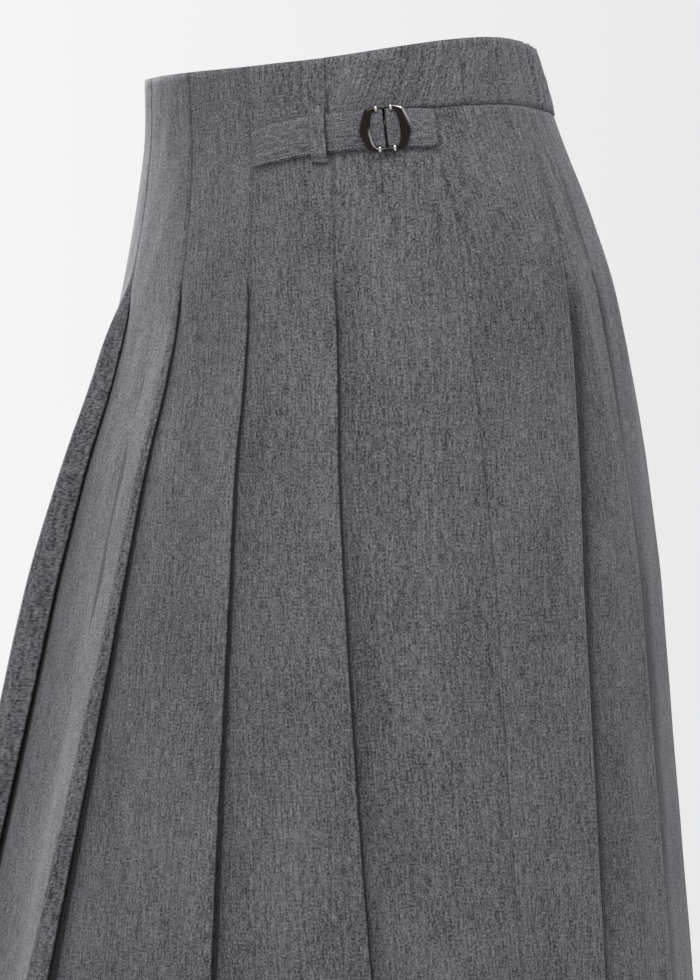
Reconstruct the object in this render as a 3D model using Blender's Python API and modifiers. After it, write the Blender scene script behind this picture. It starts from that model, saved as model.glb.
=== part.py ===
"""Pleated midi skirt, worn form: front and back panels in one-way knife pleats, flat side bands,
an elasticated back band and a buckled waist tab on the wearer's left.
Metres, +Z up. The origin is the middle of the waist opening. The front faces -Y, the wearer's left is +X.
Angles are in degrees round the body: 0 is the centre front, 90 the left side, 180 the centre back."""

from collections import namedtuple
from math import atan2, cos, hypot, pi, radians, sin

import bmesh
import bpy
import numpy as np
from mathutils import Matrix, Vector

# Driving dimensions, in metres and degrees
CLOTH = 0.0011
DOUBLED_CLOTH = 0.0014
LAYER_GAP = 0.00035
SEAM_GAP = 0.0003
SIDE_SEAM_GAP = 0.0006
BAND_SEAM = 0.0009
PITCH = CLOTH + LAYER_GAP
BAND_HEIGHT = 0.034
RELEASE = 0.115
EARLY = 0.145
HIP = 0.28
HEM = 0.76
TILT_FADE = 0.20
UNDERLAY_WAIST = 0.026
UNDERLAY_HEM = 0.036
RISE = 0.020
RISE_HIP = 0.036
RISE_HEM = 0.065
FLATTER = 0.55
BODY_RADIUS = 0.2
UNDER_FLAT = 0.002
BAND_FRONT = 56.3
BAND_BACK = 97.0
GATHERS = 28
GATHER_HEIGHT = 0.0011
GATHER_SWELL = 0.17
BAND_COLUMNS = 9
TURN_STEPS = 3
RUN_SHARES = (0.13, 0.32, 0.55)
CREST_SHARES = (2.2, 1.0, 0.45)
CREST_BACK = 0.003
CREST_SPREAD = 0.45
ROLL_REACH = 0.85
RIDGE_POWER = 1.9
STRAP_WIDTH = 0.0205
STRAP_OUT = 0.5 * CLOTH + 2.0 * SEAM_GAP + 0.5 * DOUBLED_CLOTH
STRAP_STEPS = 14
TAB_STEPS = 7
SLIT_HALF_ANGLE = 0.75
LOOP_TOP = -0.0303
LOOP_ANGLES = (51.0, 55.1)
BUCKLE_ANGLE = 71.7
BUCKLE_WIDTH = 0.0278
BUCKLE_HEIGHT = 0.0236
BUCKLE_DEPTH = 0.0438
BUCKLE_OUT = 0.0037
BAR_THICKNESS = 0.0012
MIDDLE_BAR_RADIUS = 0.0008
LOBE_THICKNESS = 0.0027
LOBE_FALL = 3
RING_STEPS = 48
RING_CORNERS = 8

CLOTH_GREY = (0.105, 0.103, 0.112)
GUNMETAL = (0.045, 0.042, 0.040)

# The smooth outline under the pleats, one row for each ring of the panels
Ring = namedtuple("Ring", "depth half_width front back")
RINGS = (
    Ring(0.000, 0.128, 0.1005, 0.0985),
    Ring(BAND_HEIGHT + BAND_SEAM, 0.134, 0.099, 0.1105),
    Ring(0.075, 0.148, 0.102, 0.128),
    Ring(RELEASE, 0.159, 0.108, 0.143),
    Ring(EARLY, 0.165, 0.113, 0.150),
    Ring(0.180, 0.172, 0.122, 0.156),
    Ring(0.220, 0.180, 0.135, 0.161),
    Ring(HIP, 0.192, 0.151, 0.166),
    Ring(0.360, 0.207, 0.169, 0.169),
    Ring(0.470, 0.226, 0.195, 0.174),
    Ring(0.600, 0.247, 0.225, 0.180),
    Ring(HEM, 0.272, 0.262, 0.189),
)

# How far the top edge stands above or below the level of the origin, the same on both sides
Edge = namedtuple("Edge", "angle height")
TOP_EDGE = (
    Edge(0, -0.0092),
    Edge(30, -0.0087),
    Edge(57, -0.0052),
    Edge(80, 0.0015),
    Edge(97, 0.0060),
    Edge(115, 0.0082),
    Edge(135, 0.0058),
    Edge(180, 0.0030),
)

# Where the side seams run, in degrees from the centre front: they bend forward where the waist tab is sewn in
SeamStop = namedtuple("SeamStop", "depth angle")
SIDE_SEAM = (
    SeamStop(0.034, 87.5),
    SeamStop(0.066, 86.5),
    SeamStop(0.086, 89.3),
    SeamStop(0.120, 89.9),
    SeamStop(0.190, 90.6),
    SeamStop(0.270, 91.2),
    SeamStop(0.400, 90.4),
    SeamStop(HEM, 90.0),
)

# One row for each pleat, in order round the body. The first four angles place its fold edge at the waist,
# at the release, at the hip and at the hem. The rolls say how far the face before the edge rounds out,
# just below the release, at the hip and at the hem. The swing is the angle it stands open at the hem.
Pleat = namedtuple("Pleat", "name waist release hip hem roll_early roll_hip roll_hem swing")
FRONT_PLEATS = (
    Pleat("right_second", -56.0, -55.0, -60.0, -70.0, 0.0005, 0.003, 0.008, 14),
    Pleat("right_first", -34.0, -34.0, -36.0, -41.0, 0.002, 0.006, 0.011, 12),
    Pleat("centre_right", -13.5, -14.5, -14.0, -12.0, 0.0085, 0.015, 0.017, 10),
    Pleat("centre_left", 10.2, 11.5, 14.5, 14.2, 0.0010, 0.0030, 0.016, 12),
    Pleat("left_first", 32.0, 32.5, 39.3, 50.0, 0.0, 0.0008, 0.005, 14),
    Pleat("left_second", 56.0, 55.0, 61.1, 75.9, 0.0, 0.0008, 0.005, 16),
)
BACK_PLEATS = (
    Pleat("left_third", 117.0, 118.0, 111.0, 103.0, 0.0, 0.002, 0.006, 16),
    Pleat("left_fourth", 122.0, 130.0, 131.5, 127.0, 0.0, 0.0006, 0.001, 14),
    Pleat("left_fifth", 158.0, 156.0, 156.0, 154.0, 0.001, 0.004, 0.009, 14),
    Pleat("centre_back", 180.0, 180.0, 180.0, 180.0, 0.001, 0.003, 0.007, 12),
    Pleat("right_fifth", 202.0, 203.0, 204.0, 206.0, 0.001, 0.004, 0.009, 14),
    Pleat("right_fourth", 226.0, 225.0, 228.0, 231.0, 0.002, 0.004, 0.008, 14),
    Pleat("right_third", 243.0, 242.0, 249.0, 257.0, 0.0, 0.001, 0.004, 12),
)

# The back pleats grow out of the gathers: the share of the underlay that is folded, and how flat it still lies
Ease = namedtuple("Ease", "depth share flatness")
EASING = (
    Ease(0.034, 0.06, 172),
    Ease(0.075, 0.06, 165),
    Ease(RELEASE, 0.10, 70),
    Ease(EARLY, 0.42, 0),
    Ease(0.180, 0.72, 0),
    Ease(0.220, 1.00, 0),
)

# The pleat whose seam holds the strap's front end
STRAP_PLEAT = FRONT_PLEATS[4]

# The tab strap and the short tab behind the buckle, from the seam of a pleat to the side seam
Stop = namedtuple("Stop", "angle height width")
STRAP_STOPS = (
    Stop(33.4, -0.0531, 0.0185),
    Stop(36.0, -0.0515, 0.0196),
    Stop(42.0, -0.0490, 0.0205),
    Stop(48.0, -0.0468, STRAP_WIDTH),
    Stop(54.0, -0.0456, STRAP_WIDTH),
    Stop(60.0, -0.0443, STRAP_WIDTH),
    Stop(66.0, -0.0432, STRAP_WIDTH),
    Stop(BUCKLE_ANGLE, -0.0428, STRAP_WIDTH),
    Stop(78.0, -0.0426, STRAP_WIDTH),
    Stop(82.5, -0.0423, STRAP_WIDTH),
    Stop(86.4, -0.0421, 0.0198),
)

# The carrier loop from its top end down: it lies on the cloth, climbs over the strap and comes down again
LoopStop = namedtuple("LoopStop", "below_top over_strap lift")
LOOP_STOPS = (
    LoopStop(0.0, False, 0.0),
    LoopStop(0.0022, False, 0.0002),
    LoopStop(0.0040, True, 0.0),
    LoopStop(0.0150, True, 0.0002),
    LoopStop(0.0270, True, 0.0),
    LoopStop(0.0288, False, 0.0002),
    LoopStop(0.0300, False, 0.0),
)

# A quarter of the buckle's outer outline and of its window, from the side to the top
Corner = namedtuple("Corner", "x y")
BUCKLE_OUTSIDE = (
    Corner(0.5 * BUCKLE_WIDTH, 0.0),
    Corner(0.0134, 0.0020),
    Corner(0.0128, 0.0042),
    Corner(0.0120, 0.0064),
    Corner(0.0110, 0.0088),
    Corner(0.0104, 0.0104),
    Corner(0.0099, 0.0112),
    Corner(0.0089, 0.0116),
    Corner(0.0076, 0.5 * BUCKLE_HEIGHT),
    Corner(0.0, 0.5 * BUCKLE_HEIGHT),
)
BUCKLE_WINDOW = (
    Corner(0.0076, 0.0),
    Corner(0.0075, 0.0040),
    Corner(0.0071, 0.0070),
    Corner(0.0065, 0.0090),
    Corner(0.0056, 0.0103),
    Corner(0.0046, 0.5 * BUCKLE_HEIGHT - BAR_THICKNESS),
    Corner(0.0, 0.5 * BUCKLE_HEIGHT - BAR_THICKNESS),
)


def column(rows, name):
    """The values of one named column of a table"""
    return [getattr(row, name) for row in rows]


def between(rows, at, key, name):
    """A table's value at a place between its rows"""
    return float(np.interp(at, column(rows, key), column(rows, name)))


def top_edge_height(angle):
    """Height of the waist edge at an angle, the same to the left and the right"""
    around = abs((angle + 180.0) % 360.0 - 180.0)
    return between(TOP_EDGE, around, "angle", "height")


def height_at(depth, angle):
    """Height of a point that is so far below the waist edge; the edge's tilt fades out down to the hip"""
    fade = max(0.0, 1.0 - depth / TILT_FADE)
    return top_edge_height(angle) * fade - depth


class Section:
    """The smooth horizontal outline at one depth, measured along its arc"""

    def __init__(self, depth):
        self.depth = depth
        self.half_width = between(RINGS, depth, "depth", "half_width")
        self.front = between(RINGS, depth, "depth", "front")
        self.back = between(RINGS, depth, "depth", "back")
        self.angles = np.arange(-110.0, 290.5, 0.5)
        outline = np.array([self.outline(angle) for angle in self.angles])
        steps = np.linalg.norm(np.diff(outline, axis=0), axis=1)
        self.arc = np.concatenate([[0.0], np.cumsum(steps)])

    def outline(self, angle):
        """The outline's point at an angle"""
        turn = radians(angle)
        reach = self.front if cos(turn) > 0 else self.back
        return Vector((self.half_width * sin(turn), -reach * cos(turn)))

    def outward(self, angle):
        """The outline's outward direction at an angle"""
        turn = radians(angle)
        reach = self.front if cos(turn) > 0 else self.back
        return Vector((sin(turn) / self.half_width, -cos(turn) / reach)).normalized()

    def along(self, angle):
        """Distance along the arc to an angle"""
        return float(np.interp(angle, self.angles, self.arc))

    def place(self, along, out):
        """The point at a distance along the arc, moved outward"""
        angle = float(np.interp(along, self.arc, self.angles))
        flat = self.outline(angle) + out * self.outward(angle)
        return Vector((flat.x, flat.y, height_at(self.depth, angle)))


def eased_rise(share):
    """Goes from 0 to 1, fast at first and level at the end"""
    return sin(0.5 * pi * min(1.0, max(0.0, share)))


def turn_points(start, heading, turn, radius):
    """Points round an arc that leaves `start` along `heading` and turns by `turn`; the start is left out"""
    side = 1.0 if turn > 0 else -1.0
    centre = start + side * radius * Vector((-sin(heading), cos(heading)))
    points = []
    for step in range(1, TURN_STEPS + 1):
        reached = heading + turn * step / TURN_STEPS
        points.append(centre - side * radius * Vector((-sin(reached), cos(reached))))
    return points


def pleat_angle(pleat, depth):
    """Where a pleat's fold edge stands at one depth"""
    stops = (0.0, RELEASE, HIP, HEM)
    return float(np.interp(depth, stops, (pleat.waist, pleat.release, pleat.hip, pleat.hem)))


def fold_state(pleat, depth, is_eased):
    """Underlay, swing and roll of a pleat at one depth"""
    underlay = float(np.interp(depth, (0.0, HEM), (UNDERLAY_WAIST, UNDERLAY_HEM)))
    swing = float(np.interp(depth, (RELEASE, HEM), (0.0, pleat.swing)))
    rolls = (0.0, pleat.roll_early, pleat.roll_hip, pleat.roll_hem)
    roll = float(np.interp(depth, (RELEASE, EARLY, HIP, HEM), rolls))
    if is_eased:
        underlay *= between(EASING, depth, "depth", "share")
        swing = max(swing, between(EASING, depth, "depth", "flatness"))
    return underlay, swing, roll


def pleat_points(section, pleat, is_eased):
    """One pleat's fold edge, return and underlay as (along, out) points, up to where its cloth shows again"""
    underlay, swing, _ = fold_state(pleat, section.depth, is_eased)
    turn = pi - radians(swing)
    radius = 0.5 * PITCH
    edge = Vector((section.along(pleat_angle(pleat, section.depth)), 0.0))
    points = [edge]
    points += turn_points(edge, 0.0, -turn, radius)
    inner = points[-1] + underlay * Vector((cos(turn), -sin(turn)))
    points.append(inner)
    points += turn_points(inner, -turn, turn, radius)
    shows = max(edge.x, points[-1].x + UNDER_FLAT)
    points.append(Vector((shows, points[-1].y)))
    return points


def face_out(from_start, length, dip, roll, depth):
    """How far a panel's face stands out: it rises from under one fold, hangs flatter than the round outline and
    rounds out before the next edge"""
    rise_over = float(np.interp(depth, (EARLY, HIP, HEM), (RISE, RISE_HIP, RISE_HEM)))
    rise = dip * (1.0 - eased_rise(from_start / rise_over))
    crest = CREST_BACK + CREST_SPREAD * roll
    to_edge = length - from_start
    flatter = FLATTER * float(np.interp(depth, (RELEASE, HIP), (0.0, 1.0)))
    sag = flatter * from_start * to_edge / (2.0 * BODY_RADIUS)
    if to_edge < crest:
        return rise - sag + roll * eased_rise(to_edge / crest)
    fall = min(1.0, (to_edge - crest) / (ROLL_REACH * (length - crest)))
    return rise - sag + roll * (1.0 - fall) ** RIDGE_POWER


def run_points(start, end, roll, depth):
    """The face of a panel between two pleats, with points set where it rounds most"""
    length = end.x - start.x
    crest = CREST_BACK + CREST_SPREAD * roll
    distances = [share * length for share in RUN_SHARES]
    distances += [length - reach * crest for reach in CREST_SHARES]
    return [Vector((start.x + far, face_out(far, length, start.y, roll, depth))) for far in distances]


def panel_profile(section, pleats, is_eased):
    """The whole cut of a panel at one depth, from one side seam to the other, and each pleat's first column.
    The eased panel is the back one, so it starts at the left seam"""
    seam = between(SIDE_SEAM, section.depth, "depth", "angle")
    first_angle, last_angle = (seam, 360.0 - seam) if is_eased else (-seam, seam)
    start = Vector((section.along(first_angle) + 0.5 * SIDE_SEAM_GAP, 0.0))
    finish = Vector((section.along(last_angle) - 0.5 * SIDE_SEAM_GAP, 0.0))
    points = [start]
    edges = []
    for pleat in pleats:
        folded = pleat_points(section, pleat, is_eased)
        roll = fold_state(pleat, section.depth, is_eased)[2]
        points += run_points(points[-1], folded[0], roll, section.depth)
        edges.append(len(points))
        points += folded
    points += run_points(points[-1], finish, 0.0, section.depth)
    points.append(finish)
    return points, edges


def clear_scene():
    """Empty the scene of its objects"""
    for thing in list(bpy.data.objects):
        bpy.data.objects.remove(thing, do_unlink=True)


def make_material(name, colour, roughness, metallic):
    """A plain surface with a colour, a roughness and a metallic value"""
    material = bpy.data.materials.new(name)
    material.use_nodes = True
    surface = material.node_tree.nodes["Principled BSDF"]
    surface.inputs["Base Color"].default_value = (*colour, 1.0)
    surface.inputs["Roughness"].default_value = roughness
    surface.inputs["Metallic"].default_value = metallic
    return material


def add_object(name, mesh, material, collection):
    """Put a mesh in the scene as one named sub-part"""
    thing = bpy.data.objects.new(name, mesh)
    thing.data.materials.append(material)
    collection.objects.link(thing)
    return thing


def cloth_from_rows(name, rows, is_kept, thickness, material, collection):
    """An open surface through rows of points, thickened to a wall. `is_kept` says which faces it has"""
    sheet = bmesh.new()
    corners = {}

    def corner(row, place):
        if (row, place) not in corners:
            corners[row, place] = sheet.verts.new(rows[row][place])
        return corners[row, place]

    for row in range(len(rows) - 1):
        for place in range(len(rows[row]) - 1):
            if is_kept(row, place):
                sheet.faces.new((
                    corner(row, place),
                    corner(row + 1, place),
                    corner(row + 1, place + 1),
                    corner(row, place + 1),
                ))
    mesh = bpy.data.meshes.new(name)
    sheet.to_mesh(mesh)
    sheet.free()
    thing = add_object(name, mesh, material, collection)
    wall = thing.modifiers.new("Wall", "SOLIDIFY")
    wall.thickness = thickness
    wall.offset = 0.0
    wall.use_even_offset = True
    return thing


def panel(name, pleats, is_eased, material, collection):
    """A pleated panel from one side seam to the other. Only the middle of the front reaches the waist edge"""
    rows = []
    for ring in RINGS:
        section = Section(ring.depth)
        profile, edges = panel_profile(section, pleats, is_eased)
        rows.append([section.place(point.x, point.y) for point in profile])
    fold_length = 2 * TURN_STEPS + 2
    first_kept = edges[0] + fold_length
    last_kept = edges[-1]

    def is_kept(row, place):
        under_band = row > 0
        between_bands = first_kept <= place < last_kept
        return under_band or (between_bands and not is_eased)

    return cloth_from_rows(name, rows, is_kept, CLOTH, material, collection)


def side_band(name, mirror, material, collection):
    """A flat stretch of the waistband above the side of the skirt"""
    rows = []
    for depth in (0.0, 0.5 * BAND_HEIGHT, BAND_HEIGHT):
        section = Section(depth)
        first = section.along(BAND_FRONT) + SEAM_GAP
        last = section.along(BAND_BACK)
        row = [section.place(along, 0.0) for along in np.linspace(first, last, BAND_COLUMNS)]
        rows.append([Vector((mirror * point.x, point.y, point.z)) for point in row][::mirror])
    return cloth_from_rows(name, rows, lambda row, place: True, DOUBLED_CLOTH, material, collection)


def back_band(name, material, collection):
    """The elasticated stretch of the waistband, drawn up into even gathers that die away at its ends"""
    rows = []
    for depth in (0.0, 0.5 * BAND_HEIGHT, BAND_HEIGHT):
        section = Section(depth)
        first = section.along(BAND_BACK) + SEAM_GAP
        last = section.along(360.0 - BAND_BACK) - SEAM_GAP
        count = 4 * GATHERS
        row = []
        for step in range(count + 1):
            share = step / count
            swell = min(1.0, share / GATHER_SWELL, (1.0 - share) / GATHER_SWELL)
            out = GATHER_HEIGHT * swell * sin(2.0 * pi * GATHERS * share)
            row.append(section.place(first + share * (last - first), out))
        rows.append(row)
    return cloth_from_rows(name, rows, lambda row, place: True, DOUBLED_CLOTH, material, collection)


def section_at(angle, height):
    """The outline's section through a point of the upper skirt, given by its angle and height"""
    top = top_edge_height(angle)
    return Section((top - height) / (1.0 + top / TILT_FADE))


def strap_point(angle, height, out):
    """A point at a height above or below the origin, moved out from the smooth outline there"""
    section = section_at(angle, height)
    flat = section.outline(angle) + out * section.outward(angle)
    return Vector((flat.x, flat.y, height))


def strap_out(angle, height):
    """How far the strap's middle stands out: with the face it is sewn to, rising from under that fold"""
    section = section_at(angle, height)
    from_fold = section.along(angle) - section.along(pleat_angle(STRAP_PLEAT, section.depth))
    return STRAP_OUT - 2.0 * PITCH * (1.0 - eased_rise(from_fold / RISE))


def strap_rows(first, last, steps):
    """Upper and lower edge of a stretch of the strap"""
    rows = [[], [], []]
    for angle in np.linspace(first, last, steps + 1):
        middle = between(STRAP_STOPS, angle, "angle", "height")
        half = 0.5 * between(STRAP_STOPS, angle, "angle", "width")
        for row, side in zip(rows, (1.0, 0.0, -1.0)):
            height = middle + side * half
            row.append(strap_point(angle, height, strap_out(angle, height)))
    return rows


def strap(name, first, last, steps, material, collection):
    """A stretch of the doubled strap"""
    rows = strap_rows(first, last, steps)
    return cloth_from_rows(name, rows, lambda row, place: True, DOUBLED_CLOTH, material, collection)


def carrier_loop(name, material, collection):
    """The loop sewn over the strap at the last front pleat"""
    on_cloth = 0.5 * CLOTH + 2.0 * SEAM_GAP + 0.5 * CLOTH
    over_strap = STRAP_OUT + 0.5 * DOUBLED_CLOTH + SEAM_GAP + 0.5 * CLOTH
    rows = []
    for stop in LOOP_STOPS:
        out = stop.lift + (over_strap if stop.over_strap else on_cloth)
        height = LOOP_TOP - stop.below_top
        rows.append([strap_point(angle, height, out) for angle in np.linspace(*LOOP_ANGLES, 4)])
    return cloth_from_rows(name, rows, lambda row, place: True, CLOTH, material, collection)


def corner_reach(corners, turn):
    """Distance from the buckle's middle to one of its outlines, in one direction"""
    turns = [atan2(corner.y, corner.x) for corner in corners]
    reaches = [hypot(corner.x, corner.y) for corner in corners]
    return float(np.interp(atan2(abs(sin(turn)), abs(cos(turn))), turns, reaches))


def buckle_ring():
    """The buckle's frame, flat in X and Y: thick crescents at its sides, thin bars above and below"""
    ring = bmesh.new()
    loops = []
    for step in range(RING_STEPS):
        turn = 2.0 * pi * step / RING_STEPS
        inside = corner_reach(BUCKLE_WINDOW, turn)
        outside = corner_reach(BUCKLE_OUTSIDE, turn)
        thick = BAR_THICKNESS + (LOBE_THICKNESS - BAR_THICKNESS) * abs(cos(turn)) ** LOBE_FALL
        loop = []
        for corner in range(RING_CORNERS):
            swing = 2.0 * pi * corner / RING_CORNERS
            reach = 0.5 * (inside + outside) + 0.5 * (outside - inside) * cos(swing)
            loop.append(ring.verts.new((reach * cos(turn), reach * sin(turn), 0.5 * thick * sin(swing))))
        loops.append(loop)
    for step in range(RING_STEPS):
        following = loops[(step + 1) % RING_STEPS]
        for corner in range(RING_CORNERS):
            beside = (corner + 1) % RING_CORNERS
            ring.faces.new((loops[step][corner], following[corner], following[beside], loops[step][beside]))
    bmesh.ops.recalc_face_normals(ring, faces=ring.faces)
    return ring


def buckle(name, material, collection):
    """A plain three-bar slide: the ring and its upright middle bar, joined"""
    ring = buckle_ring()
    mesh = bpy.data.meshes.new(name)
    ring.to_mesh(mesh)
    ring.free()
    thing = add_object(name, mesh, material, collection)
    half = 0.5 * BUCKLE_HEIGHT
    above = strap_point(BUCKLE_ANGLE, half - BUCKLE_DEPTH, 0.0)
    below = strap_point(BUCKLE_ANGLE, -half - BUCKLE_DEPTH, 0.0)
    ahead = strap_point(BUCKLE_ANGLE + 1.0, -BUCKLE_DEPTH, 0.0)
    behind = strap_point(BUCKLE_ANGLE - 1.0, -BUCKLE_DEPTH, 0.0)
    up = (above - below).normalized()
    out = (ahead - behind).cross(up).normalized()
    turned = Matrix((up.cross(out), up, out)).transposed().to_4x4()
    seat = 0.5 * (above + below) + BUCKLE_OUT * out
    thing.matrix_world = Matrix.Translation(seat) @ turned
    return thing


def middle_bar(frame, cutters):
    """A guide cylinder along the buckle's middle, joined to its frame"""
    bar_length = BUCKLE_HEIGHT - BAR_THICKNESS
    bpy.ops.mesh.primitive_cylinder_add(vertices=10, radius=MIDDLE_BAR_RADIUS, depth=bar_length)
    bar = bpy.context.object
    bar.name = "middle_bar_guide"
    bar.matrix_world = frame.matrix_world @ Matrix.Rotation(0.5 * pi, 4, "X")
    bar.hide_render = True
    bar.display_type = "WIRE"
    for held in list(bar.users_collection):
        held.objects.unlink(bar)
    cutters.objects.link(bar)
    join = frame.modifiers.new("Middle bar", "BOOLEAN")
    join.operation = "UNION"
    join.object = bar
    return bar


def build_skirt():
    """The whole skirt, piece by piece from the panels up to the tab"""
    clear_scene()
    parts = bpy.data.collections.new("pleated_midi_skirt")
    cutters = bpy.data.collections.new("cutters")
    bpy.context.scene.collection.children.link(parts)
    bpy.context.scene.collection.children.link(cutters)
    cloth = make_material("Wool suiting", CLOTH_GREY, 0.9, 0.0)
    metal = make_material("Gunmetal", GUNMETAL, 0.22, 1.0)

    panel("front_panel", FRONT_PLEATS, False, cloth, parts)
    panel("back_panel", BACK_PLEATS, True, cloth, parts)
    side_band("side_band_left", 1, cloth, parts)
    side_band("side_band_right", -1, cloth, parts)
    back_band("back_band", cloth, parts)

    strap("tab_strap", STRAP_STOPS[0].angle, BUCKLE_ANGLE - SLIT_HALF_ANGLE, STRAP_STEPS, cloth, parts)
    strap("tab_end", BUCKLE_ANGLE + SLIT_HALF_ANGLE, STRAP_STOPS[-1].angle, TAB_STEPS, cloth, parts)
    carrier_loop("carrier_loop", cloth, parts)
    frame = buckle("buckle", metal, parts)
    middle_bar(frame, cutters)


build_skirt()
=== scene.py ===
from collections import namedtuple
from math import cos, pi, radians, sin

import bmesh
import bpy
import numpy as np
from mathutils import Matrix, Vector


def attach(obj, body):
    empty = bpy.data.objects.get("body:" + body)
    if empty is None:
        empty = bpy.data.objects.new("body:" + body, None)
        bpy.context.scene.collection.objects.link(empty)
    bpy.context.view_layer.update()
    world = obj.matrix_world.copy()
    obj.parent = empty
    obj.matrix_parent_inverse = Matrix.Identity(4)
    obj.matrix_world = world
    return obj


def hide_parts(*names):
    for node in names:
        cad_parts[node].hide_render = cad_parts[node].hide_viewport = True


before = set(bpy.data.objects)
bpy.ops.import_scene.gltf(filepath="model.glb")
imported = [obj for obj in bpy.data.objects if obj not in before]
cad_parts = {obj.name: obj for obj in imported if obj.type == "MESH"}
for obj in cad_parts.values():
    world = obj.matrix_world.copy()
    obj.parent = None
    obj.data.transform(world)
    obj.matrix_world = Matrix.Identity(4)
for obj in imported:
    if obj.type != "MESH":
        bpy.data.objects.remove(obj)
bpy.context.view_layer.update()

# The camera stands level at the wearer's left, turned toward the front, far off with a long lens, as for a
# close-up of a garment on a figure. Its aim is the garment's axis, a little below the middle of the skirt's
# upper half.
PHOTO_HEIGHT = 980
CAMERA_AZIMUTH = radians(66.0)
CAMERA_DISTANCE = 3.6
CAMERA_HEIGHT = -0.232
PIXELS_PER_METRE = 1840.0
SENSOR = 36.0
AXIS_LEFT_OF_MIDDLE = 11

toward_camera = Vector((sin(CAMERA_AZIMUTH), -cos(CAMERA_AZIMUTH), 0.0))
to_the_right = Vector((cos(CAMERA_AZIMUTH), sin(CAMERA_AZIMUTH), 0.0))
up = Vector((0.0, 0.0, 1.0))
bpy.ops.object.camera_add()
camera = bpy.context.object
camera.matrix_world = (
    Matrix.Translation(CAMERA_DISTANCE * toward_camera + CAMERA_HEIGHT * up)
    @ Matrix((to_the_right, up, toward_camera)).transposed().to_4x4()
)
camera.data.sensor_width = SENSOR
camera.data.lens = PIXELS_PER_METRE * CAMERA_DISTANCE * SENSOR / PHOTO_HEIGHT
camera.data.shift_x = AXIS_LEFT_OF_MIDDLE / PHOTO_HEIGHT
camera.data.clip_end = 60.0
bpy.context.scene.camera = camera

# The worn outline. The skirt hangs from the waist over a general figure: close and tilted at the waist,
# round over the hips, then flaring to the hem. Angles run round the body in degrees: 0 is the centre
# front, 90 the left side, 180 the centre back. Every piece of cloth below lies on this outline.
BAND_HEIGHT = 0.034
RELEASE = 0.115
EARLY = 0.145
HIP = 0.28
HEM = 0.76
TILT_FADE = 0.20
ROUNDING = 0.012

Ring = namedtuple("Ring", "depth half_width front back")
RINGS = (
    Ring(0.000, 0.128, 0.1005, 0.0985),
    Ring(0.035, 0.134, 0.099, 0.1105),
    Ring(0.075, 0.148, 0.102, 0.128),
    Ring(RELEASE, 0.159, 0.108, 0.143),
    Ring(EARLY, 0.165, 0.113, 0.150),
    Ring(0.180, 0.172, 0.122, 0.156),
    Ring(0.220, 0.180, 0.135, 0.161),
    Ring(HIP, 0.192, 0.151, 0.166),
    Ring(0.360, 0.207, 0.169, 0.169),
    Ring(0.470, 0.226, 0.195, 0.174),
    Ring(0.600, 0.247, 0.225, 0.180),
    Ring(HEM, 0.272, 0.262, 0.189),
)
Edge = namedtuple("Edge", "angle height")
TOP_EDGE = (
    Edge(0, -0.0092),
    Edge(30, -0.0087),
    Edge(57, -0.0052),
    Edge(80, 0.0015),
    Edge(97, 0.0060),
    Edge(115, 0.0082),
    Edge(135, 0.0058),
    Edge(180, 0.0030),
)


def rounded(at, places, values, reach):
    """A value between the rows of a table, with the corners at its rows rounded off"""
    shifts = np.linspace(-reach, reach, 9)
    return np.mean([np.interp(at + shift, places, values) for shift in shifts], axis=0)


def column(rows, name):
    """The values of one named column of a table"""
    return [getattr(row, name) for row in rows]


def top_edge_height(angles):
    """Height of the waist edge at each angle, the same to the left and the right"""
    around = np.abs((np.asarray(angles) + 180.0) % 360.0 - 180.0)
    return rounded(around, column(TOP_EDGE, "angle"), column(TOP_EDGE, "height"), 9.0)


class Section:
    """The smooth horizontal outline at one depth below the waist edge, measured along its arc"""

    angles = np.arange(-110.0, 290.5, 0.25)
    turns = np.radians(angles)
    faces_front = np.cos(turns) > 0.0

    def __init__(self, depth):
        self.depth = depth
        depths = column(RINGS, "depth")
        half_width, front, back = (
            rounded(depth, depths, column(RINGS, name), ROUNDING) for name in ("half_width", "front", "back")
        )
        reach = np.where(self.faces_front, front, back)
        self.flat = np.stack([half_width * np.sin(self.turns), -reach * np.cos(self.turns)], axis=1)
        self.out = np.stack([np.sin(self.turns) / half_width, -np.cos(self.turns) / reach], axis=1)
        self.out /= np.linalg.norm(self.out, axis=1)[:, None]
        steps = np.linalg.norm(np.diff(self.flat, axis=0), axis=1)
        self.arc = np.concatenate([[0.0], np.cumsum(steps)])

    def along(self, angle):
        """Distance along the arc to an angle"""
        return np.interp(angle, self.angles, self.arc)

    def angle(self, along):
        """The angle at a distance along the arc"""
        return np.interp(along, self.arc, self.angles)

    def place(self, along, out):
        """The points at distances along the arc, moved outward"""
        flat = [
            np.interp(along, self.arc, self.flat[:, axis]) + out * np.interp(along, self.arc, self.out[:, axis])
            for axis in (0, 1)
        ]
        fade = max(0.0, 1.0 - self.depth / TILT_FADE)
        height = top_edge_height(self.angle(along)) * fade - self.depth
        return np.stack([flat[0], flat[1], height], axis=-1)


# The cloth: a matte mid-grey wool suiting, spun from light and dark fibres. Seen near, it is a fine mix of
# flecks drawn out along the warp, with a few slubs across it. The pattern is laid in metres on each piece's
# own UV map, so it follows the grain of that piece. Where one layer dips under the next, shade is painted
# into its colour, toward FOLD_SHADOW.
CLOTH_DARK = (0.034, 0.0335, 0.039)
CLOTH_LIGHT = (0.247, 0.244, 0.265)
CLOTH_ROUGHNESS = 0.88
FOLD_SHADOW = (0.30, 0.30, 0.31)
CLOTH_WALL = 0.0006


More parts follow.
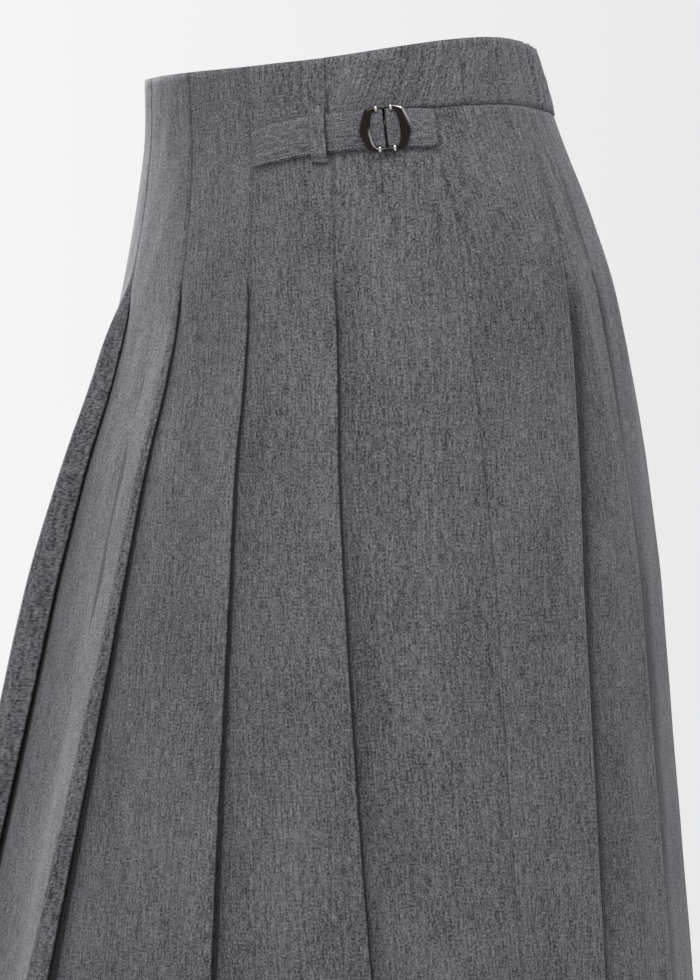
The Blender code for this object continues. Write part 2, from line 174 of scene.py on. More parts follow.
class Wire:
    """A number that varies over a surface. Sums and products of it add Math nodes"""

    def __init__(self, tree, socket):
        self.tree = tree
        self.socket = socket

    def math(self, operation, *values):
        node = self.tree.nodes.new("ShaderNodeMath")
        node.operation = operation
        for socket, value in zip(node.inputs, values):
            connect(self.tree, socket, value)
        return Wire(self.tree, node.outputs[0])

    def __add__(self, other):
        return self.math("ADD", self, other)

    def __mul__(self, other):
        return self.math("MULTIPLY", self, other)

    def __sub__(self, other):
        return self.math("SUBTRACT", self, other)


def connect(tree, socket, value):
    """Link a wire to a socket, or set the socket's own value"""
    if isinstance(value, Wire):
        tree.links.new(value.socket, socket)
    else:
        socket.default_value = value


class Finish:
    """A material while its nodes are being laid out"""

    def __init__(self, name):
        self.material = bpy.data.materials.new(name)
        self.material.use_nodes = True
        self.tree = self.material.node_tree
        self.surface = self.tree.nodes["Principled BSDF"]

    def node(self, kind, settings, sockets, output=0):
        """Any node but Math: its settings first, then the values or links of its sockets"""
        node = self.tree.nodes.new(kind)
        for name, value in settings.items():
            setattr(node, name, value)
        for name, value in sockets.items():
            connect(self.tree, node.inputs[name], value)
        return Wire(self.tree, node.outputs[output])

    def noise(self, x, y, z, detail):
        """Soft noise over a point given by three numbers. A fixed third one gives each use its own pattern"""
        place = self.node("ShaderNodeCombineXYZ", {}, {0: x, 1: y, 2: z})
        return self.node("ShaderNodeTexNoise", {}, {"Vector": place, "Scale": 1.0, "Detail": detail})

    def set(self, **values):
        """Set or link the shader's own sockets, written with underscores for spaces"""
        for name, value in values.items():
            connect(self.tree, self.surface.inputs[name.replace("_", " ")], value)


def wool(name):
    """The melange suiting, on a UV map in metres. The `fold` attribute carries painted shade that darkens it
    where layers meet
    """
    finish = Finish(name)
    grain = finish.node("ShaderNodeUVMap", {"uv_map": "grain"}, {})
    across = finish.node("ShaderNodeSeparateXYZ", {}, {0: grain}, 0)
    down = finish.node("ShaderNodeSeparateXYZ", {}, {0: grain}, 1)
    flecks = finish.noise(across * 940.0, down * 860.0, 0.0, 1.0)
    warp = finish.noise(across * 900.0, down * 170.0, 4.0, 1.0)
    streaks = finish.noise(across * 480.0, down * 36.0, 9.0, 2.0)
    weft = finish.noise(across * 150.0, down * 1200.0, 14.0, 1.0)
    clouds = finish.noise(across * 30.0, down * 11.0, 21.0, 2.0)
    mix = flecks * 1.55 + warp * 1.0 + streaks * 0.6 + weft * 0.45 + clouds * 0.4 - 1.62
    colour = finish.node(
        "ShaderNodeMix",
        {"data_type": "RGBA"},
        {
            "Factor": finish.node("ShaderNodeClamp", {}, {"Value": mix}),
            6: (*CLOTH_DARK, 1.0),
            7: (*CLOTH_LIGHT, 1.0),
        },
        2,
    )
    # Painted shade: the `fold` attribute mixes the cloth colour toward FOLD_SHADOW where layers meet
    painted_shade_factor = finish.node("ShaderNodeAttribute", {"attribute_name": "fold"}, {}, 2)
    shadow = finish.node(
        "ShaderNodeMix",
        {"data_type": "RGBA", "blend_type": "MULTIPLY"},
        {"Factor": painted_shade_factor, 6: colour, 7: (*FOLD_SHADOW, 1.0)},
        2,
    )
    relief = flecks * 0.6 + warp * 0.4
    bump = finish.node("ShaderNodeBump", {}, {"Height": relief, "Strength": 0.14, "Distance": 0.0006})
    finish.set(Base_Color=shadow, Roughness=CLOTH_ROUGHNESS, Normal=bump)
    finish.surface.inputs["Sheen Weight"].default_value = 0.05
    finish.surface.inputs["Sheen Roughness"].default_value = 0.45
    finish.surface.inputs["Specular IOR Level"].default_value = 0.25
    return finish.material


suiting = wool("wool suiting")


def cloth_from_rows(name, points, grain, keep, wall, painted_shade=0.0):
    """A sheet through rows of points, thickened to a thin wall, with its UV map in metres along the grain.
    The last argument is the painted shade of each column, from 0 to 1, kept in the `fold` attribute"""
    rows, columns = points.shape[:2]
    index = np.arange(rows * columns).reshape(rows, columns)
    corners = np.stack([index[:-1, :-1], index[1:, :-1], index[1:, 1:], index[:-1, 1:]], axis=-1)
    faces = corners[keep]
    used, renumbered = np.unique(faces, return_inverse=True)
    mesh = bpy.data.meshes.new(name)
    mesh.from_pydata(points.reshape(-1, 3)[used].tolist(), [], renumbered.reshape(faces.shape).tolist())
    chart = mesh.uv_layers.new(name="grain")
    flat = grain.reshape(-1, 2)[used][renumbered.ravel()]
    chart.data.foreach_set("uv", flat.astype(np.float32).ravel())
    # The painted shade of each point, which the material darkens the cloth with
    painted_shade_per_point = np.broadcast_to(painted_shade, points.shape[:2]).reshape(-1)[used]
    mesh.attributes.new("fold", "FLOAT", "POINT").data.foreach_set("value", painted_shade_per_point)
    piece = bpy.data.objects.new(name, mesh)
    bpy.context.collection.objects.link(piece)
    mesh.materials.append(suiting)
    mesh.shade_smooth()
    thickness = piece.modifiers.new("Wall", "SOLIDIFY")
    thickness.thickness = wall
    thickness.offset = 0.0
    bpy.ops.object.select_all(action="DESELECT")
    piece.select_set(True)
    bpy.context.view_layer.objects.active = piece
    bpy.ops.object.modifier_apply(modifier=thickness.name)
    return piece


# The front panel is one pleated piece from side seam to side seam. Its six knife pleats all fold one way.
# Each is sewn down from the waist for 115 mm and pressed below that. Where the cloth swings over the front
# of the thighs the faces round out before their fold edges.
LAYER_GAP = 0.00012
FOLD_PITCH = CLOTH_WALL + LAYER_GAP
UNDERLAY_WAIST = 0.026
UNDERLAY_HEM = 0.036
FACE_OUT = 0.00025
SEWN_RISE = 0.0010
RISE_FROM = 0.0010
SEAM_TUCK = 0.0008
SEAM_RISE = 0.0022
CREST_BACK = 0.003
CREST_SPREAD = 0.45
ROLL_REACH = 0.85
RIDGE_POWER = 1.9
FLATTER = 0.55
BODY_RADIUS = 0.2
SEAM_GAP = 0.0003
FULL_FACE = 0.03
WAVER = 0.00035
PART_SHIFT = 0.31
TURN_STEPS = 5
LAYER_STEPS = 3
FACE_STEPS = 15
NEAR_FOLD = (0.0009, 0.0012, 0.0014, 0.0017, 0.0024, 0.0036, 0.0052, 0.0075, 0.0110, 0.0160)
NEAR_EDGE = (2.2, 1.6, 1.25, 1.0, 0.8, 0.62, 0.45, 0.3, 0.18, 0.08)
SEWN_GROOVE = 0.00049
GROOVE_WIDTH = 0.0010
GROOVE_FADE = 0.006
SEWN_LINE = 0.0030
SEWN_LINE_EDGE = 0.0004
UPPER_PART = (0.22, 0.32)
UPPER_REACH = 0.0095
SOFT_REACH = 0.0075

# Each pleat: the angle of its fold edge at four depths, how far its face rounds out before the edge, and how
# many degrees its underlay swings in at the hem. Then its painted shade: how dark the shade painted along its
# sewn line is, how dark the shade painted beside the fold is, and how far the deep painted shadow past the
# fold reaches.
Pleat = namedtuple("Pleat", "name waist release hip hem roll_early roll_hip roll_hem swing line shade reach")
FRONT_PLEATS = (
    Pleat("right_second", -56.0, -55.0, -60.0, -70.0, 0.0005, 0.003, 0.008, 14, 0.4, 0.2, 0.0016),
    Pleat("right_first", -34.0, -34.0, -36.0, -41.0, 0.002, 0.006, 0.011, 12, 0.4, 0.3, 0.0016),
    Pleat("centre_right", -13.5, -14.5, -14.0, -12.0, 0.0085, 0.015, 0.017, 10, 0.9, 0.2, 0.0016),
    Pleat("centre_left", 10.2, 11.5, 14.5, 14.2, 0.0010, 0.0030, 0.016, 12, 0.9, 0.35, 0.0018),
    Pleat("left_first", 32.0, 32.5, 39.3, 50.0, 0.0, 0.0008, 0.005, 14, 0.3, 0.2, 0.0016),
    Pleat("left_second", 56.0, 55.0, 61.1, 75.9, 0.0, 0.0008, 0.005, 16, 0.2, 0.25, 0.0016),
)

# The side seams run straight down, but bend forward where the waist tab is sewn into them.
SeamStop = namedtuple("SeamStop", "depth angle")
SIDE_SEAM = (
    SeamStop(0.034, 87.5),
    SeamStop(0.066, 86.5),
    SeamStop(0.086, 89.3),
    SeamStop(0.120, 89.9),
    SeamStop(0.190, 90.6),
    SeamStop(0.270, 91.2),
    SeamStop(0.400, 90.4),
    SeamStop(HEM, 90.0),
)

# Soft creases on the faces: a line from one angle and depth to another, its half width and its height.
# Ridges stand out and troughs, with a minus, lie in.
Crease = namedtuple("Crease", "angle depth to_angle to_depth spread height")
CREASE_RADIUS = 0.16
FRONT_CREASES = (
    Crease(-2, 0.10, 2, 0.30, 0.010, 0.0012),
    Crease(0, 0.10, 0, 0.95, 0.024, -0.0045),
    Crease(3, 0.33, 6, 0.90, 0.007, -0.0013),
    Crease(-6, 0.30, -4, 0.84, 0.006, -0.0011),
    Crease(24, 0.14, 27, 0.40, 0.011, -0.0010),
    Crease(27, 0.28, 33, 0.72, 0.016, 0.0018),
    Crease(45, 0.12, 50, 0.34, 0.013, 0.0011),
    Crease(49, 0.30, 60, 0.74, 0.018, -0.0017),
    Crease(70, 0.14, 76, 0.42, 0.016, 0.0013),
    Crease(82, 0.30, 86, 0.70, 0.015, 0.0022),
    Crease(66, 0.055, 84, 0.075, 0.006, -0.0006),
    Crease(-46, 0.14, -49, 0.42, 0.013, 0.0012),
    Crease(-48, 0.30, -56, 0.74, 0.017, -0.0018),
    Crease(-24, 0.18, -26, 0.60, 0.013, 0.0013),
    Crease(-74, 0.15, -78, 0.44, 0.016, 0.0013),
    Crease(-82, 0.34, -85, 0.73, 0.014, -0.0020),
)


def stops_value(depth, stops, values):
    """A pleat's value at one depth, with soft changes between its stops"""
    return float(rounded(depth, stops, values, ROUNDING))


def pleat_angle(pleat, depth):
    """Where a pleat's fold edge stands at one depth"""
    return stops_value(depth, (0.0, RELEASE, HIP, HEM), (pleat.waist, pleat.release, pleat.hip, pleat.hem))


def pleat_roll(pleat, depth):
    """How far the face rounds out before a pleat's fold edge"""
    rolls = (0.0, pleat.roll_early, pleat.roll_hip, pleat.roll_hem)
    return stops_value(depth, (RELEASE, EARLY, HIP, HEM), rolls)


def turn_points(start, heading, turn, radius):
    """Points round an arc that leaves `start` along `heading` and turns by `turn`; the start is left out"""
    side = 1.0 if turn > 0 else -1.0
    centre = start + side * radius * np.array([-sin(heading), cos(heading)])
    reached = heading + turn * np.arange(1, TURN_STEPS + 1) / TURN_STEPS
    return centre - side * radius * np.stack([-np.sin(reached), np.cos(reached)], axis=1)


def fold_points(section, pleat, is_eased):
    """One pleat's fold edge, return and underlay as (along, out) points, to where its cloth shows again"""
    depth = section.depth
    underlay = float(np.interp(depth, (0.0, HEM), (UNDERLAY_WAIST, UNDERLAY_HEM)))
    swing = stops_value(depth, (RELEASE, HEM), (0.0, pleat.swing))
    if is_eased:
        underlay *= stops_value(depth, column(EASING, "depth"), column(EASING, "share"))
        swing = max(swing, stops_value(depth, column(EASING, "depth"), column(EASING, "flatness")))
    turn = pi - radians(swing)
    edge = np.array([section.along(pleat_angle(pleat, depth)), FACE_OUT])
    outer = turn_points(edge, 0.0, -turn, 0.5 * FOLD_PITCH)
    layers = np.linspace(0.0, underlay, LAYER_STEPS + 1)[1:, None] * np.array([cos(turn), -sin(turn)])
    inner = turn_points(outer[-1] + layers[-1], -turn, turn, 0.5 * FOLD_PITCH)
    last = inner[-1]
    shows = max(edge[0], last[0] + 0.002)
    under = np.stack([np.linspace(last[0], shows, LAYER_STEPS + 1)[1:], np.full(LAYER_STEPS, last[1])], axis=1)
    return np.concatenate([[edge], outer, outer[-1] + layers, inner, under])


def crease_out(angles, depth, creases):
    """How far the soft creases lift or sink a face at one depth"""
    out = np.zeros_like(angles)
    for crease in creases:
        share = (depth - crease.depth) / (crease.to_depth - crease.depth)
        if 0.0 < share < 1.0:
            middle = crease.angle + share * (crease.to_angle - crease.angle)
            spread = np.degrees(crease.spread / CREASE_RADIUS)
            strength = sin(pi * share) ** 0.8
            out += crease.height * strength * np.exp(-(((angles - middle) / spread) ** 2))
    return out


def face_points(section, start, end, roll, rise_over, tuck, creases):
    """The face between two pleats as (along, out) points: it comes up from under one fold, rounds out and
    lies into the next, with its creases and a slight waver. The points lie closest where it bends most."""
    length = end - start[0]
    squeeze = min(1.0, length / FULL_FACE)
    crest = squeeze * (CREST_BACK + CREST_SPREAD * roll)
    near_fold = squeeze * np.array(NEAR_FOLD)
    near_edge = length - crest * np.array(NEAR_EDGE)
    between = np.linspace(near_fold[-1], near_edge[0], FACE_STEPS + 1)[1:-1]
    far = np.concatenate([near_fold, between, near_edge])
    to_edge = length - far
    lifted = np.clip((far - min(RISE_FROM, 0.2 * rise_over)) / rise_over, 0.0, 1.0)
    rise = (start[1] - FACE_OUT) * (1.0 - np.sin(0.5 * pi * lifted))
    near = np.sin(0.5 * pi * np.clip(to_edge / crest, 0.0, 1.0))
    fall = np.clip((to_edge - crest) / (ROLL_REACH * (length - crest)), 0.0, 1.0)
    rolled = roll * np.where(to_edge < crest, near, (1.0 - fall) ** RIDGE_POWER)
    tucked = -tuck * np.exp(-((to_edge / SEAM_RISE) ** 2))
    sag = FLATTER * np.interp(section.depth, (RELEASE, HIP), (0.0, 1.0)) * far * to_edge / (2.0 * BODY_RADIUS)
    angles = section.angle(start[0] + far)
    inside = np.sin(pi * far / length) ** 0.5
    depth = section.depth
    waver = WAVER * np.sin(angles * 0.41 + depth * 37.0) * np.sin(depth * 61.0 + angles * 0.13)
    out = FACE_OUT + rise + rolled + tucked - sag + inside * (crease_out(angles, depth, creases) + waver)
    return np.stack([start[0] + far, out], axis=1)


def fold_rise(depth):
    """How far the cloth takes to come up from under a fold: at once where it is sewn, gently below"""
    stops = (RELEASE + 0.006, EARLY + 0.01, HIP, HEM)
    return float(rounded(depth, stops, (SEWN_RISE, 0.020, 0.036, 0.065), 0.006))


def panel_rows(pleats, turned, creases, depths, is_eased, extra_out):
    """A pleated panel between its side seams: its points, its grain, the column where each fold starts, and how
    far each point lies past the fold before it"""
    points = []
    grain = []
    past = []
    for depth in depths:
        section = Section(depth)
        seam = stops_value(depth, column(SIDE_SEAM, "depth"), column(SIDE_SEAM, "angle"))
        first, last_angle = (seam, 360.0 - seam) if turned else (-seam, seam)
        start = np.array([section.along(first) + 0.5 * SEAM_GAP, FACE_OUT - SEAM_TUCK])
        finish = section.along(last_angle) - 0.5 * SEAM_GAP
        rise_over = SEAM_RISE
        profile = [start[None]]
        across = []
        shown = [[0.0]]
        folds = []
        last = start
        for number, pleat in enumerate(pleats):
            fold = fold_points(section, pleat, is_eased)
            face = face_points(section, last, fold[0, 0], pleat_roll(pleat, depth), rise_over, 0.0, creases)
            profile += [face, fold]
            folds.append(sum(len(part) for part in profile) - len(fold))
            across.append(np.concatenate([face[:, 0], fold[:, 0]]) - fold[0, 0] + PART_SHIFT * (number + 1))
            shown += [face[:, 0] - last[0], np.zeros(len(fold))]
            last = fold[-1]
            rise_over = fold_rise(depth)
        across.insert(0, start[:1] - profile[2][0, 0] + PART_SHIFT)
        face = face_points(section, last, finish, 0.0, rise_over, SEAM_TUCK, creases)
        profile += [face, [[finish, FACE_OUT - SEAM_TUCK]]]
        across.append(np.append(face[:, 0], finish) - last[0] + PART_SHIFT * (len(pleats) + 1))
        past.append(np.concatenate([*shown, face[:, 0] - last[0], [finish - last[0]]]))
        line = np.concatenate(profile)
        out = line[:, 1] + extra_out(section, line[:, 0])
        points.append(section.place(line[:, 0], out))
        grain.append(np.stack([np.concatenate(across), np.full(len(line), -depth)], axis=1))
    return np.array(points), np.array(grain), folds, np.array(past)


FOLD_LENGTH = 2 * TURN_STEPS + 2 * LAYER_STEPS
FACE_LENGTH = len(NEAR_FOLD) + FACE_STEPS - 1 + len(NEAR_EDGE)


def painted_fold_shade(pleats, folds, depths, past, turn_shades):
    """How much painted shade each point of a panel gets: full past the edge's turn, less where the face comes
    up, and none on the layer inside. Where the pleat is sewn down only its thin painted line shows"""
    painted_shade = np.zeros(past.shape)
    hangs = np.interp(depths, (RELEASE, EARLY), (0.0, 1.0))[:, None]
    turned_in = np.zeros(FOLD_LENGTH + 1)
    turned_in[:TURN_STEPS + LAYER_STEPS + 1] = 1.0
    turned_in[:len(turn_shades)] = turn_shades
    turned_in[-1] = 1.0
    for pleat, edge in zip(pleats, folds):
        face = edge + len(turned_in)
        far = past[:, face:face + FACE_LENGTH]
        reach = np.interp(depths, UPPER_PART, (min(pleat.reach, UPPER_REACH), pleat.reach))[:, None]
        hanging = np.exp(-((far / reach) ** 4)) + pleat.shade * np.exp(-((far / (SOFT_REACH + reach)) ** 2))
        sewn = pleat.line * np.clip((SEWN_LINE - far) / SEWN_LINE_EDGE, 0.0, 1.0)
        painted_shade[:, edge:face] = turned_in * (hangs + pleat.line * (1.0 - hangs))
        painted_shade[:, face:face + FACE_LENGTH] = hangs * np.minimum(1.0, hanging) + (1.0 - hangs) * sewn
    return painted_shade


def panel_depths(first):
    """The depths of a panel's rings: close together in the sewn part, further apart down to the hem"""
    upper = np.linspace(first, 0.20, 50)
    lower = np.linspace(0.20, HEM, 66)
    return np.concatenate([upper, lower[1:]])


def sewn_groove(section, along):
    """The edge stitching draws the cloth in along each sewn fold, down to the release"""
    strength = SEWN_GROOVE * np.clip((RELEASE + 0.004 - section.depth) / GROOVE_FADE, 0.0, 1.0)
    drawn = np.zeros_like(along)
    for pleat in FRONT_PLEATS:
        far = along - section.along(pleat_angle(pleat, section.depth))
        drawn = np.maximum(drawn, np.exp(-((far / GROOVE_WIDTH) ** 2)))
    return -strength * drawn


BELOW_BAND = 0.0006
BAND_RINGS = 9
band_line = BAND_HEIGHT + BELOW_BAND
depths = np.concatenate([np.linspace(0.0, band_line, BAND_RINGS + 1)[:-1], panel_depths(band_line)])
points, grain, folds, past = panel_rows(FRONT_PLEATS, False, FRONT_CREASES, depths, False, sewn_groove)
keep = np.ones((len(depths) - 1, points.shape[1] - 1), dtype=bool)
keep[:BAND_RINGS, :folds[0] + FOLD_LENGTH] = False
keep[:BAND_RINGS, folds[-1]:] = False
# Painted shade in and beside each front fold
painted_shade = painted_fold_shade(FRONT_PLEATS, folds, depths, past, (0.0, 0.35, 0.7))
front = cloth_from_rows("front_cloth", points, grain, keep, CLOTH_WALL, painted_shade)
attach(front, "root")
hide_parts("front_panel")

# The back panel joins the front at the side seams. Its fullness is gathered into the elasticated band, and
# seven knife pleats grow out of the gathers between the band and the hip and hang to the hem.
GATHERS = 28
GATHER_FADE = 0.022
GATHER_HEIGHT = 0.00075
BAND_BACK = 97.0
Ease = namedtuple("Ease", "depth share flatness")
EASING = (
    Ease(0.034, 0.06, 172),
    Ease(0.075, 0.06, 165),
    Ease(RELEASE, 0.10, 70),
    Ease(EARLY, 0.42, 0),
    Ease(0.180, 0.72, 0),
    Ease(0.220, 1.00, 0),
)
BACK_PLEATS = (
    Pleat("left_third", 117.0, 118.0, 111.0, 103.0, 0.0002, 0.0022, 0.006, 16, 0.0, 0.3, 0.0095),
    Pleat("left_fourth", 122.0, 130.0, 131.5, 127.0, 0.0, 0.0006, 0.001, 14, 0.0, 0.1, 0.0360),
    Pleat("left_fifth", 158.0, 156.0, 156.0, 154.0, 0.001, 0.004, 0.009, 14, 0.0, 0.4, 0.0040),
    Pleat("centre_back", 180.0, 180.0, 180.0, 180.0, 0.001, 0.003, 0.007, 12, 0.0, 0.4, 0.0040),
    Pleat("right_fifth", 202.0, 203.0, 204.0, 206.0, 0.001, 0.004, 0.009, 14, 0.0, 0.4, 0.0040),
    Pleat("right_fourth", 226.0, 225.0, 228.0, 231.0, 0.002, 0.004, 0.008, 14, 0.0, 0.4, 0.0040),
    Pleat("right_third", 243.0, 242.0, 249.0, 257.0, 0.0, 0.001, 0.004, 12, 0.0, 0.4, 0.0040),
)
BACK_CREASES = (
    Crease(98, 0.04, 106, 0.13, 0.007, -0.0006),
    Crease(104, 0.05, 112, 0.17, 0.007, 0.0006),
    Crease(110, 0.036, 121, 0.12, 0.005, -0.0007),
    Crease(117, 0.036, 130, 0.30, 0.007, 0.0016),
    Crease(121, 0.036, 131, 0.13, 0.004, -0.0008),
    Crease(131.2, 0.12, 126.4, 0.92, 0.0050, 0.0040),
    Crease(137, 0.16, 136, 0.62, 0.010, -0.0022),
    Crease(92, 0.30, 96, 0.74, 0.014, -0.0022),
    Crease(100, 0.20, 100, 0.50, 0.013, 0.0014),
    Crease(120, 0.24, 118, 0.66, 0.013, 0.0016),
    Crease(142, 0.06, 144, 0.24, 0.009, 0.0018),
    Crease(146, 0.26, 141, 0.72, 0.015, -0.0018),
    Crease(168, 0.05, 168, 0.30, 0.010, -0.0014),
    Crease(170, 0.26, 167, 0.70, 0.015, 0.0019),
    Crease(192, 0.05, 193, 0.28, 0.010, 0.0016),
    Crease(194, 0.30, 193, 0.74, 0.014, -0.0018),
    Crease(214, 0.06, 216, 0.26, 0.010, -0.0013),
    Crease(218, 0.28, 219, 0.72, 0.016, 0.0018),
    Crease(236, 0.04, 232, 0.18, 0.007, 0.0014),
    Crease(240, 0.28, 243, 0.70, 0.014, -0.0016),
    Crease(258, 0.06, 255, 0.30, 0.011, 0.0012),
    Crease(264, 0.30, 266, 0.72, 0.015, -0.0018),
)
spread_of_gathers = np.random.default_rng(11)
gather_heights = 0.55 + 0.9 * spread_of_gathers.random(GATHERS + 1)
gather_drift = 0.32 * (spread_of_gathers.random(GATHERS + 1) - 0.5)


def gather_wave(section, along):
    """The uneven waves of the gathers along the back band, from -1 to 1, dying away at its two ends"""
    first = section.along(BAND_BACK)
    last = section.along(360.0 - BAND_BACK)
    share = np.clip((along - first) / (last - first), 0.0, 1.0)
    number = share * GATHERS
    whole = np.clip(number.astype(int), 0, GATHERS - 1)
    part = number - whole
    height = gather_heights[whole] + part * (gather_heights[whole + 1] - gather_heights[whole])
    drift = gather_drift[whole] + part * (gather_drift[whole + 1] - gather_drift[whole])
    swell = np.clip(5.0 * share, 0.0, 1.0) * np.clip(5.0 * (1.0 - share), 0.0, 1.0)
    return swell * height * (2.0 * np.abs(np.sin(pi * (number + drift))) ** 0.6 - 1.2)


def gathered(section, along):
    """The gathers run on below the band and die away over the hip"""
    return GATHER_HEIGHT * np.exp(-(section.depth - BAND_HEIGHT) / GATHER_FADE) * gather_wave(section, along)


depths = panel_depths(band_line)
points, grain, folds, past = panel_rows(BACK_PLEATS, True, BACK_CREASES, depths, True, gathered)
keep = np.ones((len(depths) - 1, points.shape[1] - 1), dtype=bool)
# Painted shade in and beside each back fold
painted_shade = painted_fold_shade(BACK_PLEATS, folds, depths, past, (0.7, 1.0, 1.0))
back = cloth_from_rows("back_cloth", points, grain, keep, CLOTH_WALL, painted_shade)
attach(back, "root")
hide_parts("back_panel")

# The waistband is a doubled strip. It is flat at both sides, from the last front pleat to just behind the
# side seam, and the long back stretch holds the elastic, which draws it up into fine upright gathers.
BAND_WALL = 0.0013
BAND_FRONT = 55.98
BAND_ROWS = 12
BAND_COLUMNS = 100
ELASTIC_COLUMNS = 560
EDGE_TUCK = 0.00045
EDGE_SHARE = 0.07
BAND_FULLNESS = 0.0006
SEAM_DRAW = 0.0007
SEAM_DRAW_WIDTH = 0.0009
# Painted shadow along both seams of the flat band: its strength and its width
SEAM_SHADOW = 0.8
SEAM_SHADOW_WIDTH = 0.0011
BAND_STEP = 0.0008
ELASTIC_HEIGHT = 0.0016
ELASTIC_SWELL = 0.0005
FINE_GATHER = 0.00016
FINE_GATHER_RATE = 1250.0


def band_rows(first_angle, last_angle, columns, waves):
    """A stretch of the band as points and grain, with its edges rolled in where the strip is folded"""
    points = []
    grain = []
    for step in range(BAND_ROWS + 1):
        share = step / BAND_ROWS
        section = Section(share * BAND_HEIGHT)
        first = section.along(first_angle) + 0.5 * SEAM_GAP
        last = section.along(last_angle) - 0.5 * SEAM_GAP
        along = np.linspace(first, last, columns)
        edge = min(share, 1.0 - share)
        tucked = -EDGE_TUCK * max(0.0, 1.0 - edge / EDGE_SHARE)
        pulled = BAND_FULLNESS * sin(pi * share)
        from_seam = np.minimum(along - first, last - along)
        drawn = -SEAM_DRAW * np.exp(-((from_seam / SEAM_DRAW_WIDTH) ** 2))
        out = tucked + pulled + drawn + waves(section, along, share)
        points.append(section.place(along, out))
        grain.append(np.stack([along, np.full(columns, -section.depth)], axis=1))
    return np.array(points), np.array(grain)


def lie_flat(section, along, share):
    """A flat band has no more than a slight waver"""
    return 0.00012 * np.sin(along * 190.0 + 5.0 * share)


def elastic_gathers(section, along, share):
    """Gathers the elastic makes, fullest in the middle of its height, with finer ones between"""
    fine = FINE_GATHER * np.sin(along * FINE_GATHER_RATE + 3.0 * sin(4.0 * share))
    return (ELASTIC_HEIGHT + ELASTIC_SWELL * sin(pi * share)) * gather_wave(section, along) + fine


everywhere = np.ones((BAND_ROWS, BAND_COLUMNS), dtype=bool)
points, grain = band_rows(BAND_FRONT, BAND_BACK, BAND_COLUMNS + 1, lie_flat)
# Painted shadow along the flat band's two seams
steps = np.arange(BAND_COLUMNS + 1)
to_seam = np.minimum(steps, steps[::-1]) * BAND_STEP
painted_seam_shade = SEAM_SHADOW * np.exp(-((to_seam / SEAM_SHADOW_WIDTH) ** 2))
band_left = cloth_from_rows("band_left_cloth", points, grain, everywhere, BAND_WALL, painted_seam_shade)
points = points[:, ::-1] * np.array([-1.0, 1.0, 1.0])
band_right = cloth_from_rows("band_right_cloth", points, grain, everywhere, BAND_WALL, painted_seam_shade)
for band, node in ((band_left, "side_band_left"), (band_right, "side_band_right")):
    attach(band, "root")
    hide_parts(node)

points, grain = band_rows(BAND_BACK, 360.0 - BAND_BACK, ELASTIC_COLUMNS + 1, elastic_gathers)
everywhere = np.ones((BAND_ROWS, ELASTIC_COLUMNS), dtype=bool)
# Painted shade in the valleys of the gathers along the elastic band
top = Section(0.0)
along_top = np.linspace(top.along(BAND_BACK), top.along(360.0 - BAND_BACK), ELASTIC_COLUMNS + 1)
valleys = -gather_wave(top, along_top)
painted_gather_shade = np.clip(0.9 * valleys - 0.35, 0.0, 0.8)
band_back = cloth_from_rows("elastic_band_cloth", points, grain, everywhere, BAND_WALL, painted_gather_shade)
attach(band_back, "root")
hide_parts("back_band")

# The waist tab on the wearer's left: a doubled strap sewn into a pleat seam runs back through a carrier loop
# to the buckle, and a short tab from the side seam holds the buckle's other side. Both are edge-stitched.
STRAP_WALL = 0.0013
STRAP_OUT = 0.00185
STRAP_WIDTH = 0.0205
BUCKLE_ANGLE = 71.7
SLIT_HALF_ANGLE = 0.66
ARC_PER_DEGREE = 0.00181
WRAP_REACH = 0.0070
WRAP_HEIGHT = 0.0020
WRAP_RADIUS = 0.0012
SEWN_DEEP = 0.0029
SEWN_OVER = 0.009
SEWN_ARC_PER_DEGREE = 0.0022
STRAP_CROWN = 0.00035
STITCH_DIP = 0.0003
STITCH_DIP_AT = 0.86
STITCH_DIP_WIDTH = 0.05
STRAP_ROWS = 12
GRAIN_HALF_WIDTH = 0.013
GRAIN_STRETCH = 1.3
Stop = namedtuple("Stop", "angle height width")
STRAP_STOPS = (
    Stop(32.4, -0.0535, 0.0182),
    Stop(36.0, -0.0515, 0.0196),
    Stop(42.0, -0.0490, 0.0205),
    Stop(48.0, -0.0468, STRAP_WIDTH),
    Stop(54.0, -0.0456, STRAP_WIDTH),
    Stop(60.0, -0.0443, STRAP_WIDTH),
    Stop(66.0, -0.0432, STRAP_WIDTH),
    Stop(BUCKLE_ANGLE, -0.0428, STRAP_WIDTH),
    Stop(78.0, -0.0426, STRAP_WIDTH),
    Stop(82.5, -0.0423, STRAP_WIDTH),
    Stop(86.4, -0.0421, 0.0198),
)
STITCH_INSET = 0.0014
STITCH_PITCH = 0.0019
STITCH_LENGTH = 0.0014
STITCH_RADIUS = 0.00023
THREAD_DARK = (0.203, 0.203, 0.217)
THREAD_LIGHT = (0.377, 0.377, 0.403)
LOOP_SPAN = (51.2, 55.3)


def point_at(angle, height, out):
    """A point of the upper skirt given by its angle and height, moved out from the smooth outline there"""
    top = float(top_edge_height(angle))
    section = Section((top - height) / (1.0 + top / TILT_FADE))
    place = section.place(section.along(angle), out)
    return np.array([place[0], place[1], height])


def wrap_lift(from_bar):
    """The strap climbs inside the buckle and turns down round its middle bar"""
    if from_bar > WRAP_REACH:
        return 0.0
    curl = max(0.0, WRAP_RADIUS - from_bar + SLIT_HALF_ANGLE * ARC_PER_DEGREE)
    drop = WRAP_RADIUS - max(0.0, WRAP_RADIUS ** 2 - curl ** 2) ** 0.5
    return 0.5 * WRAP_HEIGHT * (1.0 + cos(pi * from_bar / WRAP_REACH)) - drop


